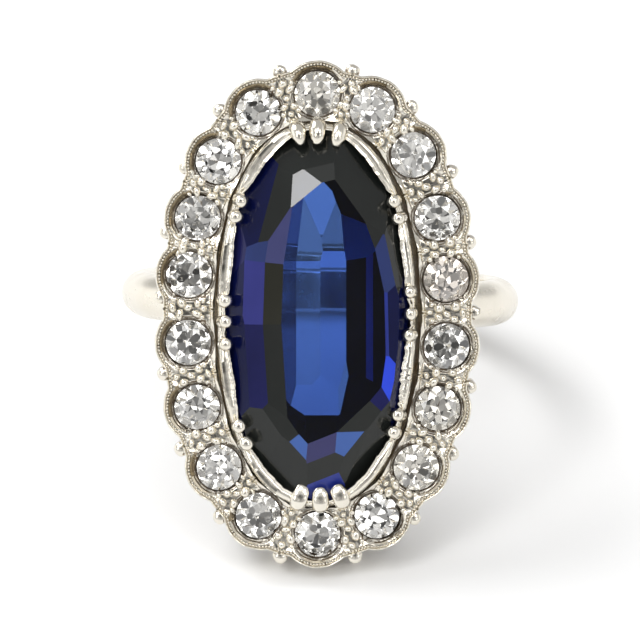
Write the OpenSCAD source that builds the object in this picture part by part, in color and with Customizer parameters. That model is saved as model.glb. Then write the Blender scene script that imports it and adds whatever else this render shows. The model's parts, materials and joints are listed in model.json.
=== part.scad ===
// Oval sapphire and diamond cluster ring, lying on its side as it rests by itself.
// All shapes are drawn upright, with the finger along Y and the stones facing +Z from the
// finger's centre. lay_down() then turns the whole ring onto the tip of its cluster and the
// back of its shank. The origin is the centre of the finger hole.

/* [Finger and shank] */
// Inner diameter of the shank
finger_d = 17.0; // [15.5:0.1:19.5]
// Radial thickness of the shank at its middle
shank_t = 1.5; // [1.3:0.05:1.8]
// Width of the shank along the finger
shank_w = 2.25; // [1.9:0.05:2.6]
// How far the domed outside of the shank falls towards its edges
shank_dome = 0.95; // [0.75:0.02:1.05]

/* [Sapphire] */
// Width of the sapphire at its girdle
sapphire_w = 8.9; // [8.7:0.05:9.1]
// Length of the sapphire at its girdle
sapphire_l = 18.0; // [17.6:0.1:18.4]
// Height of the sapphire's crown above its girdle
sapphire_crown = 1.3; // [1.1:0.05:1.4]
// Depth of the sapphire's pavilion below its girdle
sapphire_pavilion = 4.05; // [3.6:0.05:4.2]
// Length of the ridge along the bottom of the pavilion
sapphire_keel = 6.6; // [5:0.2:8]

/* [Diamonds] */
// Diameter of each diamond
diamond_d = 2.2; // [2.0:0.05:2.25]
// Width across the middle line of the diamonds
cluster_w = 12.64; // [12.6:0.02:12.8]
// Length across the middle line of the diamonds
cluster_l = 21.48; // [21.4:0.02:21.7]

/* [Setting] */
// Radius of each scallop of the rim
scallop_r = 1.75; // [1.7:0.01:1.8]
// Diameter of the gallery wires and of the beads at their tops
wire_d = 0.66; // [0.58:0.01:0.7]
// Diameter of the bead at the tip of each claw on the sapphire
claw_d = 0.66; // [0.6:0.02:0.68]
// Diameter of the small grains that hold the diamonds
grain_d = 0.4; // [0.34:0.02:0.42]
// How much of the hand setting's unevenness is kept, with 0 for even places
unevenness = 1; // [0:0.25:1]

/* [Hidden] */
diamond_count = 18;
$fn = 48;

metal = "silver";
gap = 0.05;              // clearance round every set stone
oval_power = 2.2;        // 2 is an ellipse, and more is a fuller oval
outline_sides = 72;
far = 60;                // larger than the ring, for cutting blocks

// Heights above the finger's centre
finger_r = finger_d / 2;
shank_r = finger_r + shank_t;
plate_z = finger_r + 1.0;
plate_h = 0.7;
sapphire_z = finger_r + 4.65;
girdle_h = 0.12;
crown_z = sapphire_z + girdle_h;
diamond_z = finger_r + 4.05;
land_z = diamond_z + 0.07;
rim_z = diamond_z + 0.35;
frame_z = diamond_z - 1.1;

// Semi-axes of the ovals, as [across the finger, along the finger]
sapphire_axes = [sapphire_w, sapphire_l] / 2;
cluster_axes = [cluster_w, cluster_l] / 2;
pocket_axes = sapphire_axes + gap * [1, 1];
ledge_axes = sapphire_axes - 0.2 * [1, 1];
collet_axes = sapphire_axes + 0.31 * [1, 1];
lip_axes = sapphire_axes - 0.16 * [1, 1];
claw_axes = sapphire_axes + 0.13 * [1, 1];
tip_axes = sapphire_axes + [0.05, -0.2];
frame_in_axes = cluster_axes - 1.28 * [1, 1];
wire_out_axes = cluster_axes - 1.1 * [1, 1];
trench_axes = cluster_axes + 0.7 * [1, 1];
frame_out_axes = cluster_axes + 1.24 * [1, 1];
bead_axes = cluster_axes + 1.3 * [1, 1];
plate_axes = bead_axes - 1.62 * [1, 1];

// The superellipse, with t in degrees clockwise from the far end of the cluster
function bend(v) = sign(v) * pow(abs(v), 2 / oval_power);
function oval_point(axes, t) = [axes.x * bend(sin(t)), axes.y * bend(cos(t))];
function oval_outline(axes) =
    [for (i = [0:outline_sides - 1]) oval_point(axes, 360 * i / outline_sides)];

// A table of [length walked, t] round an oval, and the t at a share of the way round
walk_step = 2;
function walk(axes) = [
    for (t = 0, done = 0; t <= 360;
         done = done + norm(oval_point(axes, t + walk_step) - oval_point(axes, t)), t = t + walk_step)
        [done, t]];
function whole(table) = table[len(table) - 1][0];
function at_share(table, share) = lookup((share - floor(share)) * whole(table), table);
function heading(axes, t) =
    let (along = oval_point(axes, t + 1) - oval_point(axes, t - 1)) atan2(-along.y, along.x);

cluster_walk = walk(cluster_axes);
claw_walk = walk(claw_axes);

// The ring was set by hand. These say how far, in mm clockwise, each diamond, the wire after
// each diamond and each group of claws stands from its even place, from the far end on.
diamond_drift = [0, -0.25, -0.35, -0.12, -0.2, 0, 0, 0, 0,
                 0, 0, 0, 0.06, 0.17, 0.4, 0.12, 0, 0];
wire_drift = [-0.12, -0.3, -0.15, -0.08, -0.08, 0.07, 0, 0.15, 0,
              0, -0.07, 0.23, 0.5, 0.75, 0.5, 0.35, 0.1, 0];
claw_drift = [0.05, 0.35, -0.1, -0.3, -0.15, -0.3, -0.28, -0.33];
claw_groups = 8;
function drifted(even, drift, table) = even + unevenness * drift / whole(table);
function diamond_share(i) = drifted(i / diamond_count, diamond_drift[i % diamond_count], cluster_walk);
function wire_share(i) = drifted((i + 0.5) / diamond_count, wire_drift[i], cluster_walk);
function claw_share(g) = drifted(g / claw_groups, claw_drift[g % claw_groups], claw_walk);

// Puts its children on an oval, with +Y pointing outwards
module on_oval(axes, t, z) {
    p = oval_point(axes, t);
    translate([p.x, p.y, z]) rotate(-heading(axes, t)) children();
}

module at_diamonds(axes, z) {
    for (i = [0:diamond_count - 1])
        on_oval(axes, at_share(cluster_walk, diamond_share(i)), z) children();
}

// Each wire stands between two diamonds
module at_wires(axes, z) {
    for (i = [0:diamond_count - 1])
        on_oval(axes, at_share(cluster_walk, wire_share(i)), z) children();
}

module oval_prism(axes, low, high) {
    translate([0, 0, low]) linear_extrude(high - low) polygon(oval_outline(axes));
}

module oval_ring(outer, inner, low, high) {
    difference() {
        oval_prism(outer, low, high);
        oval_prism(inner, low - 1, high + 1);
    }
}

// How the ring lies: the bends of the two wires beside the tip and the dome of the shank's
// back are circles seen from the side, and the floor is the line that touches both.
wire_bend_r = 1.25;
tip_t = at_share(cluster_walk, wire_share(floor(diamond_count / 2)));
tip_wire = oval_point(bead_axes, tip_t);
tip_turn = heading(bead_axes, tip_t);
bend_y = -tip_wire.y - wire_bend_r * abs(cos(tip_turn));
bend_z = plate_z + plate_h / 2 + wire_bend_r;
bend_touch_r = wire_bend_r + wire_d / 2;
dome_r = (pow(shank_w / 2, 2) + pow(shank_dome, 2)) / (2 * shank_dome);
dome_z = shank_r - dome_r;
lie_tilt = atan2(bend_y, bend_z + dome_z)
    + asin((bend_touch_r - dome_r) / norm([bend_y, bend_z + dome_z]));

module lay_down() {
    rotate([90 - lie_tilt, 0, 0]) children();
}

// The shank: a domed band that ends under the collet, where the finger sees the sapphire
shank_open = 30;         // degrees from the stones' side to each end of the band
module shank_section() {
    intersection() {
        translate([dome_z, 0]) circle(dome_r);
        translate([finger_r, -shank_w / 2]) square([shank_t + 1, shank_w]);
    }
}

module shank_band() {
    rotate([90, 0, 0]) rotate(90 + shank_open)
        rotate_extrude(angle = 360 - 2 * shank_open) shank_section();
}

// Shoulders run straight on from the band to the plate under the cluster, with the same dome
shoulder_w = shank_w - 0.2;
shoulder_sink = 0.22;    // how far a shoulder lies under the band's surface where they meet
shoulder_top = [plate_axes.x - 0.1, plate_z + 0.3];
shoulder_turn = atan2(shoulder_top.x, shoulder_top.y) + acos((shank_r - shoulder_sink) / norm(shoulder_top));
module shoulder_bar() {
    root_depth = 4;
    rotate([0, shoulder_turn - 90, 0]) translate([0, 0, -1.2]) linear_extrude(9)
        intersection() {
            translate([0, -shoulder_w / 2]) square([far, shoulder_w]);
            union() {
                translate([dome_z - shoulder_sink, 0]) circle(dome_r);
                translate([finger_r - root_depth, -shoulder_w / 2])
                    square([dome_z - shoulder_sink - finger_r + root_depth, shoulder_w]);
            }
        }
}

module shoulder() {
    inside = finger_r - 0.5;
    difference() {
        intersection() {
            shoulder_bar();
            rotate([90, 0, 0]) linear_extrude(shank_w, center = true)
                polygon([shank_r * 1.2 * [sin(shoulder_turn), cos(shoulder_turn)],
                         shoulder_top + [1.5, 0], [ledge_axes.x + 0.02, shoulder_top.y],
                         inside * [sin(shank_open), cos(shank_open)],
                         inside * [sin(shoulder_turn), cos(shoulder_turn)]]);
        }
        rotate([90, 0, 0]) cylinder(r = finger_r, h = far, center = true);
    }
}

// One gallery wire: a bead, an upright, and a bend that runs into the edge of the plate
wire_top = diamond_z - 0.1;
module gallery_wire() {
    upright = wire_top - bend_z;
    stub = 1.62 - wire_bend_r + 0.25;
    sphere(d = wire_d);
    translate([0, 0, -upright]) cylinder(d = wire_d, h = upright);
    translate([0, -wire_bend_r, -upright]) rotate([90, 0, 90]) rotate_extrude(angle = -90)
        translate([wire_bend_r, 0]) circle(d = wire_d);
    translate([0, -wire_bend_r, -upright - wire_bend_r]) rotate([90, 0, 0])
        cylinder(d = wire_d, h = stub);
}

// The cluster's frame: a plate with one scallop and one tapered seat for each diamond
scallop_taper = 0.28;
scallop_inset = 0.15;
bevel_r = 1.4;
module diamond_seat() {
    pocket_r = diamond_d / 2 + gap;
    deep = diamond_z - frame_z;
    translate([0, 0, -deep - 1]) cylinder(r = 0.45, h = deep + 1);
    translate([0, 0, -deep]) cylinder(r1 = pocket_r - deep * 0.62, r2 = pocket_r, h = deep);
    cylinder(r = pocket_r, h = 1);
}

module diamond_bevel() {
    low = diamond_d / 2 + gap;
    translate([0, 0, 0.02]) cylinder(r1 = low, r2 = low + (bevel_r - low) * 1.5, h = (rim_z - diamond_z) * 1.5);
}

module cluster_frame() {
    difference() {
        union() {
            oval_prism(frame_out_axes, frame_z, rim_z);
            at_diamonds(cluster_axes - scallop_inset * [1, 1], frame_z)
                cylinder(r1 = scallop_r - scallop_taper, r2 = scallop_r, h = rim_z - frame_z);
        }
        oval_prism(frame_in_axes, frame_z - 1, rim_z + 1);
        oval_prism(trench_axes, land_z, rim_z + 1);
        at_diamonds(cluster_axes, diamond_z) {
            diamond_seat();
            diamond_bevel();
        }
    }
}

// A raised line that edges the frame round the sapphire's collet
module inner_wire() {
    difference() {
        oval_ring(wire_out_axes, frame_in_axes, frame_z + 0.3, rim_z + 0.05);
        at_diamonds(cluster_axes, diamond_z) diamond_seat();
    }
}

// Grains beside each diamond, as [outwards, along the rim], from the diamond's middle
grain_places = [[-0.42, 1.305], [0.34, 1.205]];
module grains() {
    for (i = [0:diamond_count - 1]) {
        half_gap = (diamond_share(i + 1) - diamond_share(i)) * whole(cluster_walk) / 2;
        middle = at_share(cluster_walk, (diamond_share(i) + diamond_share(i + 1)) / 2);
        on_oval(cluster_axes, middle, diamond_z + 0.22)
            for (g = grain_places, side = [-1, 1])
                translate([side * (half_gap - g[1]), g[0], 0]) sphere(d = grain_d);
    }
}

wall_top = crown_z + 0.22;
claw_z = crown_z + 0.74;

// The collet: an oval tube with a ledge that the sapphire's pavilion sits over
module collet() {
    difference() {
        union() {
            oval_prism(collet_axes, plate_z, wall_top);
            for (t = claw_turns) on_oval(claw_axes, t, sapphire_z - 0.9)
                cylinder(d = claw_d - 0.18, h = claw_z - (sapphire_z - 0.9));
        }
        oval_prism(ledge_axes, plate_z - 1, far);
        oval_prism(pocket_axes, sapphire_z - 0.7, wall_top);
    }
}

// Claws stand in eight groups: three at the ends and sides, two between
claw_pitch = [1.08, 0.86];
claw_turns = [
    for (g = [0:claw_groups - 1])
        let (pair = g % 2, count = 3 - pair)
        for (c = [0:count - 1])
            at_share(claw_walk, claw_share(g) + (c - (count - 1) / 2) * claw_pitch[pair] / whole(claw_walk))];

module claw_tips() {
    for (t = claw_turns) on_oval(tip_axes, t, claw_z) sphere(d = claw_d);
}

// Between the groups the collet's lip rises in a low arch over the sapphire's edge
lobe_half = 1.75;
lobe_rise = 0.32;
lobe_r = (pow(lobe_half, 2) + pow(lobe_rise, 2)) / (2 * lobe_rise);
module collet_lobes() {
    for (g = [0:claw_groups - 1])
        intersection() {
            oval_ring(collet_axes, lip_axes, wall_top - 0.01, crown_z + 1);
            on_oval(lip_axes, at_share(claw_walk, (claw_share(g) + claw_share(g + 1)) / 2),
                    wall_top + lobe_rise - lobe_r)
                rotate([90, 0, 0]) cylinder(r = lobe_r, h = 3, center = true);
        }
}

// All the metal is soldered together, so it is one solid
module mount() {
    color(metal) {
        shank_band();
        for (side = [0, 180]) rotate(side) shoulder();
        oval_ring(plate_axes, ledge_axes, plate_z, plate_z + plate_h);
        at_wires(bead_axes, wire_top) gallery_wire();
        cluster_frame();
        inner_wire();
        grains();
        collet();
        claw_tips();
        collet_lobes();
    }
}

// A block that fills one side of a facet's plane. The plane faces the turn, meets the
// girdle at reach from the middle, and slopes up from there, or down with side -1.
module facet(turn, slope, reach, side) {
    rotate(-turn) translate([0, reach, 0]) rotate([-side * slope, 0, 0])
        translate([-far / 2, -far, side > 0 ? -far : 0]) cube([far, far * 1.5, far]);
}

// How far an oval reaches in the direction square to its outline at t
function reach(axes, t) =
    let (p = oval_point(axes, t), a = heading(axes, t)) p.x * sin(a) + p.y * cos(a);

// The sapphire: a brilliant crown with a flat table, over a pavilion cut in steps that
// meet in a ridge. Each crown row is [slope, facets, first facet in steps, height, inset]:
// its planes pass that far inside the girdle's outline at that height above the girdle.
crown_rows = [
    [33, 12, 0, 0, 0],
    [38, 24, 0.5, 0, 0],
    [17, 12, 0.5, sapphire_crown, 2.2]];
// Each pavilion row is [facets, first facet in steps, share of the way in to the ridge and
// share of the depth at its top, then both at its foot]
pavilion_rows = [
    [24, 0.5, 0, 0, 0.12, 0.26],
    [12, 0, 0.1, 0.2, 0.4, 0.6],
    [12, 0, 0.4, 0.6, 1, 1]];

module sapphire() {
    color([0.08, 0.16, 0.6]) translate([0, 0, sapphire_z])
        intersection() {
            oval_prism(sapphire_axes, -sapphire_pavilion, girdle_h + sapphire_crown);
            intersection_for (row = crown_rows, i = [0:row[1] - 1]) {
                t = 360 * (i + row[2]) / row[1];
                r = reach(sapphire_axes, t) - row[4] + row[3] / tan(row[0]);
                translate([0, 0, girdle_h]) facet(heading(sapphire_axes, t), row[0], r, 1);
            }
            intersection_for (row = pavilion_rows, i = [0:row[0] - 1]) {
                t = 360 * (i + row[1]) / row[0];
                a = heading(sapphire_axes, t);
                run = reach(sapphire_axes, t) - sapphire_keel / 2 * abs(cos(a));
                slope = atan((row[5] - row[3]) * sapphire_pavilion / ((row[4] - row[2]) * run));
                r = reach(sapphire_axes, t) - row[2] * run + row[3] * sapphire_pavilion / tan(slope);
                facet(a, slope, r, -1);
            }
        }
}

function diamond_name(i) = str("diamond_", i < 10 ? "0" : "", i);

// A round brilliant, with its girdle's lower edge on the plane z = 0
brilliant_table = 0.56;
brilliant_crown = 0.3;
brilliant_pavilion = 0.88;
brilliant_girdle = 0.05;
function ring_of(count, first, r, z) =
    [for (i = [0:count - 1]) let (a = 360 * (i + first) / count) [r * sin(a), r * cos(a), z]];
brilliant_points =
    let (c = cos(22.5), r = diamond_d / 2, star = 0.76, half = 0.24,
         top = brilliant_girdle + brilliant_crown,
         star_z = brilliant_girdle + brilliant_crown * (1 - star * c) / (1 - brilliant_table))
    concat(
        ring_of(8, 0, r * brilliant_table, top),
        ring_of(8, 0.5, r * star, star_z),
        ring_of(16, 0, r, brilliant_girdle),
        ring_of(16, 0, r, 0),
        ring_of(8, 0.5, r * half, -brilliant_pavilion * (1 - half * c)),
        [[0, 0, -brilliant_pavilion]]);
brilliant_faces = concat(
    [[for (i = [0:7]) i]],
    [for (i = [0:7]) [i, 8 + i, (i + 1) % 8]],
    [for (i = [0:7]) [i, 8 + (i + 7) % 8, 16 + 2 * i, 8 + i]],
    [for (i = [0:7]) [8 + i, 16 + 2 * i, 17 + 2 * i]],
    [for (i = [0:7]) [8 + i, 17 + 2 * i, 16 + (2 * i + 2) % 16]],
    [for (i = [0:15]) [16 + i, 32 + i, 32 + (i + 1) % 16, 16 + (i + 1) % 16]],
    [for (i = [0:7]) [48 + i, 33 + 2 * i, 32 + 2 * i]],
    [for (i = [0:7]) [48 + i, 32 + (2 * i + 2) % 16, 33 + 2 * i]],
    [for (i = [0:7]) [56, 48 + i, 32 + 2 * i, 48 + (i + 7) % 8]]);

module diamond(i) {
    color([0.93, 0.95, 0.97])
        on_oval(cluster_axes, at_share(cluster_walk, diamond_share(i - 1)), diamond_z)
            polyhedron(brilliant_points, brilliant_faces);
}

lay_down() mount();
lay_down() sapphire();
for (i = [1:diamond_count])
    lay_down() diamond(i);
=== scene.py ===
import json
import math
import random

import bmesh
import bpy
import numpy as np
from mathutils import Matrix, Vector, noise


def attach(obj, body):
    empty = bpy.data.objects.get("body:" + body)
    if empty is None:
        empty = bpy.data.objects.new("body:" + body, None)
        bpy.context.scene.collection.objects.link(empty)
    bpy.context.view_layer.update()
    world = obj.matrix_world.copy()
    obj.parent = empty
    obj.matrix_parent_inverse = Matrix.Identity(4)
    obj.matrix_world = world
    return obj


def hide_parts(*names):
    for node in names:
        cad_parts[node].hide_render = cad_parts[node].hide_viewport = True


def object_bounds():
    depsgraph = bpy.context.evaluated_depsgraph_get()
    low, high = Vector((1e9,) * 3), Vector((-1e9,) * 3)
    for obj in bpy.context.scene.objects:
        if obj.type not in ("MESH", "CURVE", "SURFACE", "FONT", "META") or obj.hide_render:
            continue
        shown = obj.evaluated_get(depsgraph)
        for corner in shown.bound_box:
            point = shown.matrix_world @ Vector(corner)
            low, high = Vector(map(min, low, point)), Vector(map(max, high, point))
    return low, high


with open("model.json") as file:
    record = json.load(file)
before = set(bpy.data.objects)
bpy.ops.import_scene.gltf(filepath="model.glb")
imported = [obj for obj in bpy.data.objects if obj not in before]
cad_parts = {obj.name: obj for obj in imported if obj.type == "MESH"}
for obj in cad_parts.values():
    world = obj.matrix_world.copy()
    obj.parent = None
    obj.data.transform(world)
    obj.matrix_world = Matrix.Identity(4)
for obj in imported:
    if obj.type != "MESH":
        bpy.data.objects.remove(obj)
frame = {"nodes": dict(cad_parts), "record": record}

cad_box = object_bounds()
MM = 0.001
AXIS = frame["record"]["mounts"][0]["axis"]
LIE = math.atan2(AXIS[1], AXIS[2])
rng = random.Random(7)

# Ring coordinates, in millimetres: the finger along y and the stones facing z, from the
# middle of the finger hole. SET_DOWN lays them down in the frame, in metres.
SET_DOWN = Matrix.Rotation(math.pi / 2 - LIE, 4, "X") @ Matrix.Scale(MM, 4)


def place(v):
    """From ring coordinates to the frame."""
    return SET_DOWN @ Vector(v)


# Camera, nearly straight in front of the stones
FACE_Z = 12.5
PITCH, YAW, DISTANCE = math.radians(3.3), math.radians(0.55), 350.0
SENSOR, PX_PER_MM, PHOTO_PX = 36.0, 19.8, 640.0
target = Vector((0.12, -0.27, FACE_Z))
towards = Vector((math.sin(YAW) * math.cos(PITCH), math.sin(PITCH), math.cos(YAW) * math.cos(PITCH)))
cam = bpy.data.objects.new("camera", bpy.data.cameras.new("camera"))
bpy.context.scene.collection.objects.link(cam)
cam.data.sensor_width = SENSOR
cam.data.lens = SENSOR * PX_PER_MM * DISTANCE / PHOTO_PX
cam.data.clip_start = 0.01
cam.data.clip_end = 10.0
eye = place(target + towards * (DISTANCE - FACE_Z))
back = (eye - place(target)).normalized()
ring_up = (place((0, 1, 0)) - place((0, 0, 0))).normalized()
side = ring_up.cross(back).normalized()
up = back.cross(side)
cam.matrix_world = Matrix((
    (side.x, up.x, back.x, eye.x),
    (side.y, up.y, back.y, eye.y),
    (side.z, up.z, back.z, eye.z),
    (0, 0, 0, 1)))
bpy.context.scene.camera = cam
bpy.context.scene.view_settings.view_transform = "Standard"

# Sizes, from the CAD
POWER = 2.2
COUNT = 18
FINGER_R, SHANK_T, SHANK_W, SHANK_DOME = 8.5, 1.5, 2.25, 0.95
DOME_R = ((SHANK_W / 2) ** 2 + SHANK_DOME ** 2) / (2 * SHANK_DOME)
PLATE_Z, PLATE_H = 9.5, 0.7
SAPPHIRE_Z, GIRDLE_H = 13.15, 0.12
CROWN_Z = SAPPHIRE_Z + GIRDLE_H
CROWN_H, PAVILION_H = 1.3, 4.05
DIAMOND_Z, DIAMOND_R = 12.55, 1.1
FRAME_Z = 11.45
WIRE_R = 0.33
SAPPHIRE = (4.45, 9.0)
CLUSTER = (6.32, 10.74)


def grow(axes, by):
    return (axes[0] + by, axes[1] + by)


WIRES = grow(CLUSTER, 1.3)
PLATE = grow(WIRES, -1.62)
LEDGE = grow(SAPPHIRE, -0.2)

# The ring was set by hand: how far, in mm clockwise, each gallery wire and each group of
# claws stands from its even place, as in the CAD
WIRE_DRIFT = (-0.12, -0.3, -0.15, -0.08, -0.08, 0.07, 0, 0.15, 0,
              0, -0.07, 0.23, 0.5, 0.75, 0.5, 0.35, 0.1, 0)
CLAW_DRIFT = (0.05, 0.35, -0.1, -0.3, -0.15, -0.3, -0.28, -0.33)


def oval_point(axes, turn):
    """A point of a superellipse, turn radians clockwise from its far end."""
    s, c = np.sin(turn), np.cos(turn)
    x = axes[0] * np.sign(s) * np.abs(s) ** (2 / POWER)
    y = axes[1] * np.sign(c) * np.abs(c) ** (2 / POWER)
    return x, y


class Oval:
    """A superellipse, walked clockwise from its far end by share of its length."""

    def __init__(self, axes):
        self.axes = axes
        self.turn = np.linspace(0, 2 * math.pi, 7201)
        self.x, self.y = oval_point(axes, self.turn)
        pace = np.hypot(np.diff(self.x), np.diff(self.y))
        self.length = pace.sum()
        self.run = np.concatenate(([0], np.cumsum(pace))) / self.length

    def at(self, share):
        """The point at a share of the length, and the direction straight out from it."""
        u = np.asarray(share, float) % 1.0
        x, y = np.interp(u, self.run, self.x), np.interp(u, self.run, self.y)
        a, b = self.axes
        nx = np.sign(x) * np.abs(x / a) ** (POWER - 1) / a
        ny = np.sign(y) * np.abs(y / b) ** (POWER - 1) / b
        n = np.hypot(nx, ny)
        return np.stack([x, y], -1), np.stack([nx / n, ny / n], -1)


def culet(node):
    """Where the lowest point of a diamond stands, in ring coordinates."""
    to_ring = SET_DOWN.inverted() @ node.matrix_world
    low = min((to_ring @ v.co for v in node.data.vertices), key=lambda q: q.z)
    return low.x, low.y


def share_of(line, p):
    """How far along a line the point of it nearest to p lies."""
    return line.run[np.argmin(np.hypot(line.x - p[0], line.y - p[1]))]


ring_line = Oval(CLUSTER)
stone_xy = np.array([culet(frame["nodes"]["diamond_%02d" % (i + 1)]) for i in range(COUNT)])
stone_u = np.array([share_of(ring_line, q) for q in stone_xy])
stone_u[0] -= round(stone_u[0])
gap_u = (stone_u + np.append(stone_u[1:], stone_u[0] + 1)) / 2
stone_n = ring_line.at(stone_u)[1]
notch_xy, notch_n = ring_line.at(gap_u)


def bump_noise(p, scale, seed):
    """Smooth noise from -1 to 1, with lumps of about 1 / scale millimetres."""
    x, y, z = p
    return noise.noise(Vector((x * scale + seed, y * scale - seed, z * scale + 2.3 * seed)))


def step(x, lo, hi):
    """Rises smoothly from 0 at lo to 1 at hi."""
    t = np.clip((x - lo) / (hi - lo), 0, 1)
    return t * t * (3 - 2 * t)


# Mesh helpers
def make(name, verts, faces, mat, angle, merge=None, dark=None):
    """A piece of the mount, with edges sharper than angle kept sharp.

    Points nearer than merge are joined. dark(centre) says which of the clean metal and the two metals with
    painted shade a face has, by its centre in ring coordinates.
    """
    me = bpy.data.meshes.new(name)
    ring = np.asarray(verts, float)
    down = np.array(SET_DOWN)
    v = ring @ down[:3, :3].T + down[:3, 3]
    me.from_pydata([tuple(p) for p in v], [], faces)
    me.materials.append(mat)
    if dark:
        me.materials.append(mat_painted_shade)
        me.materials.append(mat_crescent_shade)
        for poly, f in zip(me.polygons, faces):
            poly.material_index = int(dark(ring[list(f)].mean(0)))
    if merge:
        bm = bmesh.new()
        bm.from_mesh(me)
        bmesh.ops.remove_doubles(bm, verts=bm.verts, dist=merge)
        bmesh.ops.recalc_face_normals(bm, faces=bm.faces)
        bm.to_mesh(me)
        bm.free()
    me.polygons.foreach_set("use_smooth", [True] * len(me.polygons))
    me.set_sharp_from_angle(angle=math.radians(angle))
    me.update()
    o = bpy.data.objects.new(name, me)
    bpy.context.scene.collection.objects.link(o)
    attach(o, "root")
    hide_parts("mount")


def band(low, high, m):
    """The quads between two loops of m points, given by the index that each loop starts at."""
    return [(low + k, low + (k + 1) % m, high + (k + 1) % m, high + k) for k in range(m)]


class Build:
    """Collects several closed shapes into one mesh."""

    def __init__(self):
        self.v, self.f = [], []

    def add(self, verts, faces):
        k = len(self.v)
        self.v += [tuple(p) for p in verts]
        self.f += [tuple(i + k for i in f) for f in faces]

    def tube(self, rings, closed=False):
        """Joins loops of equally many points. A tube that isn't closed is capped at both ends."""
        n, m = len(rings), len(rings[0])
        faces = []
        for i in range(n if closed else n - 1):
            faces += band(i * m, (i + 1) % n * m, m)
        if not closed:
            faces.append(tuple(range(m - 1, -1, -1)))
            faces.append(tuple((n - 1) * m + k for k in range(m)))
        self.add([p for r in rings for p in r], faces)

    def make(self, name, mat, angle, **kw):
        make(name, self.v, self.f, mat, angle, **kw)


WIRE_SIDES, END_STEPS = 18, 6


def wire_rings(path, radii, seed, rough):
    """Loops of points round a path, made uneven by a share of the radius."""
    path = [Vector(p) for p in path]
    rings = []
    t0 = (path[1] - path[0]).normalized()
    ref = Vector((0.13, 0.31, 0.94)) if abs(t0.z) < 0.9 else Vector((1, 0.2, 0))
    a = t0.cross(ref).normalized()
    for i, p in enumerate(path):
        t = (path[min(i + 1, len(path) - 1)] - path[max(i - 1, 0)]).normalized()
        a = (a - t * a.dot(t)).normalized()
        b = t.cross(a)
        ring = []
        for k in range(WIRE_SIDES):
            w = 2 * math.pi * k / WIRE_SIDES
            q = p + (a * math.cos(w) + b * math.sin(w)) * radii[i]
            q += (q - p) * rough * bump_noise(q, 2.5, seed)
            ring.append(q)
        rings.append(ring)
    return rings


def round_end(path, radii, flat):
    """Extends a path by a domed end, flat radii high, so that a wire finishes as a bead."""
    p, q = Vector(path[-1]), Vector(path[-2])
    d = (p - q).normalized()
    r = radii[-1]
    out, rad = list(path), list(radii)
    for i in range(1, END_STEPS + 1):
        # just short of a quarter turn, so that the last loop isn't a point
        w = math.pi / 2 * i / END_STEPS * 0.985
        out.append(p + d * r * flat * math.sin(w))
        rad.append(r * math.cos(w))
    return out, rad


# Materials
def new_mat(name):
    mat = bpy.data.materials.new(name)
    mat.use_nodes = True
    tree = mat.node_tree
    return mat, tree, tree.nodes["Principled BSDF"]


def noise_on(tree, scale, detail):
    """Noise that stays on the object, with about scale lumps to the metre."""
    co = tree.nodes.new("ShaderNodeTexCoord")
    tex = tree.nodes.new("ShaderNodeTexNoise")
    tex.inputs["Scale"].default_value = scale
    tex.inputs["Detail"].default_value = detail
    tree.links.new(co.outputs["Object"], tex.inputs["Vector"])
    return tex.outputs["Fac"]


def mix_colour(tree, shader, fac, low, high):
    """The base colour goes from low to high with the noise."""
    mix = tree.nodes.new("ShaderNodeMix")
    mix.data_type = "RGBA"
    mix.inputs["A"].default_value = (*low, 1)
    mix.inputs["B"].default_value = (*high, 1)
    tree.links.new(fac, mix.inputs["Factor"])
    tree.links.new(mix.outputs["Result"], shader.inputs["Base Color"])


def bump(tree, shader, fac, strength, depth):
    node = tree.nodes.new("ShaderNodeBump")
    node.inputs["Strength"].default_value = strength
    node.inputs["Distance"].default_value = depth
    tree.links.new(fac, node.inputs["Height"])
    tree.links.new(node.outputs["Normal"], shader.inputs["Normal"])


def metal(name, color=(0.83, 0.795, 0.715), rough=(0.12, 0.27), relief=0.25, scale=1400.0):
    """Hand-finished metal: fine noise in gloss and relief, broad noise in colour."""
    mat, tree, shader = new_mat(name)
    shader.inputs["Metallic"].default_value = 1.0
    fine = noise_on(tree, scale, 6.0)
    gloss = tree.nodes.new("ShaderNodeMapRange")
    gloss.inputs["From Min"].default_value = 0.3
    gloss.inputs["From Max"].default_value = 0.7
    gloss.inputs["To Min"].default_value, gloss.inputs["To Max"].default_value = rough
    tree.links.new(fine, gloss.inputs["Value"])
    tree.links.new(gloss.outputs["Result"], shader.inputs["Roughness"])
    darker = (color[0] * 0.9, color[1] * 0.875, color[2] * 0.83)
    mix_colour(tree, shader, noise_on(tree, 420.0, 3.0), darker, color)
    bump(tree, shader, fine, relief, 0.00003)
    return mat


mat_metal = metal("platinum_polished")
mat_cut = metal("platinum_cut", rough=(0.06, 0.22), relief=0.7, scale=2600.0)
mat_shank = metal("platinum_worn", rough=(0.16, 0.32), relief=0.3, scale=900.0)
# two darker copies of the metal that paint shade: in hollows, seats and grooves, and on the crescents that
# face away from the main light
mat_painted_shade = metal("platinum_painted_shade", (0.17, 0.13, 0.09), (0.3, 0.5), 0.6, 1800.0)
# painted shade on the crescents beyond each stone where the bevel faces away from the main light
mat_crescent_shade = metal("platinum_painted_crescent_shade", (0.30, 0.25, 0.17), (0.1, 0.25), 0.5, 1800.0)


def diamond_mat(name, color, density):
    mat, tree, shader = new_mat(name)
    shader.inputs["Base Color"].default_value = (1, 1, 1, 1)
    shader.inputs["Transmission Weight"].default_value = 1.0
    shader.inputs["IOR"].default_value = 2.42
    shader.inputs["Roughness"].default_value = 0.0
    absorb = tree.nodes.new("ShaderNodeVolumeAbsorption")
    absorb.inputs["Color"].default_value = (*color, 1)
    absorb.inputs["Density"].default_value = density
    tree.links.new(absorb.outputs["Volume"], tree.nodes["Material Output"].inputs["Volume"])
    return mat


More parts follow.
